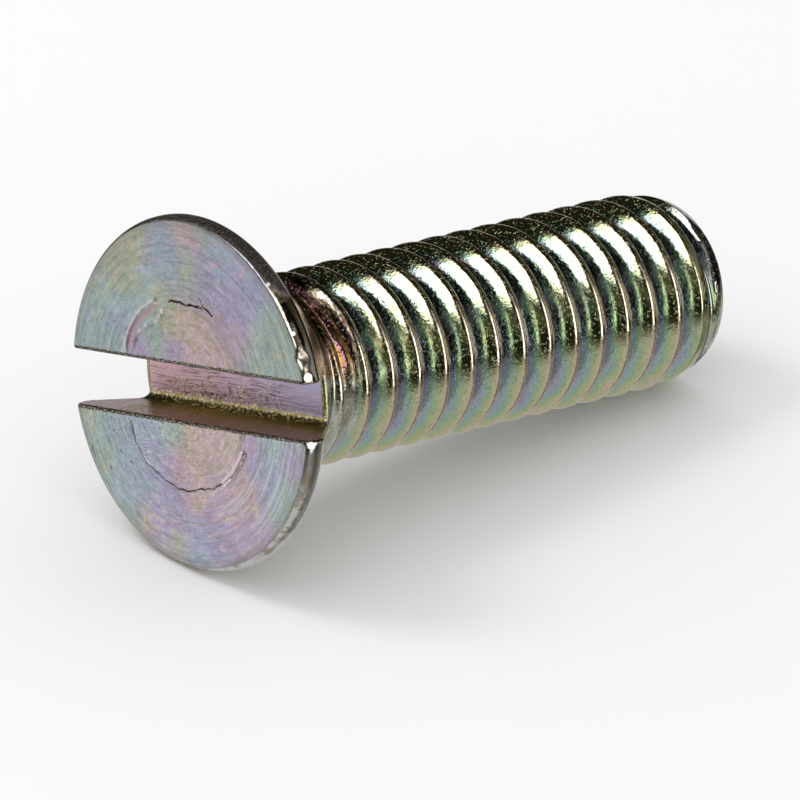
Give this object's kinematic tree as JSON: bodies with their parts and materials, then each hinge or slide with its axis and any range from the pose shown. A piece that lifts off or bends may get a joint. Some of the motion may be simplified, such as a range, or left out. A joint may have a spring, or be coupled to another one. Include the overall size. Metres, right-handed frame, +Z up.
{
  "type": "screw",
  "caption": "Small countersunk machine screw with a slotted flat head, a full-length right-hand thread and a rounded tip, lying on its side.",
  "frame": {"origin": "centre of the bounding box at floor level, under the middle of the lying screw", "axes": "+X from the head to the tip, the screw's axis falling by 8 degrees towards the tip; +Z up; the slotted face looks to -X"},
  "size_m": [0.0134, 0.0072, 0.0071],
  "materials": {
    "zinc_steel": "zinc plated and rainbow passivated steel, satin on the head face and bright on the thread"
  },
  "bodies": {
    "root": {"screw": "zinc_steel"}
  },
  "joints": []
}
